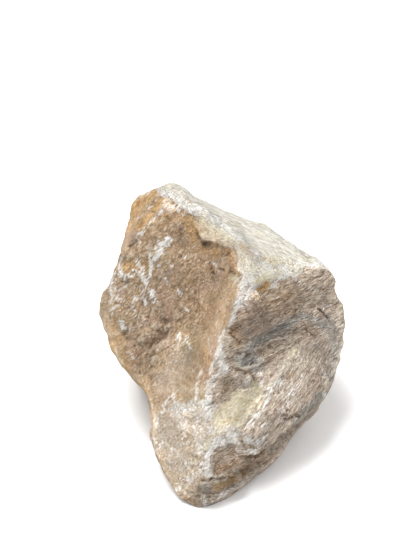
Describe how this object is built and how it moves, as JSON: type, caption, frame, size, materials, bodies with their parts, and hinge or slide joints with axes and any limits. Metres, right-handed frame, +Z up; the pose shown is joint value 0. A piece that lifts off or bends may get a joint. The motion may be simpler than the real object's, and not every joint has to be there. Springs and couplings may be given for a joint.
{
  "type": "honeycomb calcite specimen",
  "caption": "Rough broken block of layered honeycomb calcite with a tan crusted face, a pale streaked top and a fibrous grey side, lying on its flat underside.",
  "frame": {"origin": "the middle of the box around the block, on the surface that it rests on", "axes": "+Z up, -Y towards the narrow toe at the front, +X to the right as seen from the front"},
  "size_m": [0.1862, 0.2092, 0.1813],
  "materials": {
    "calcite": "dry broken stone: tan crust, cream and lilac-grey fibrous breaks, chalky white bruises along the edges"
  },
  "bodies": {
    "root": {"calcite_block": "calcite"}
  },
  "joints": []
}
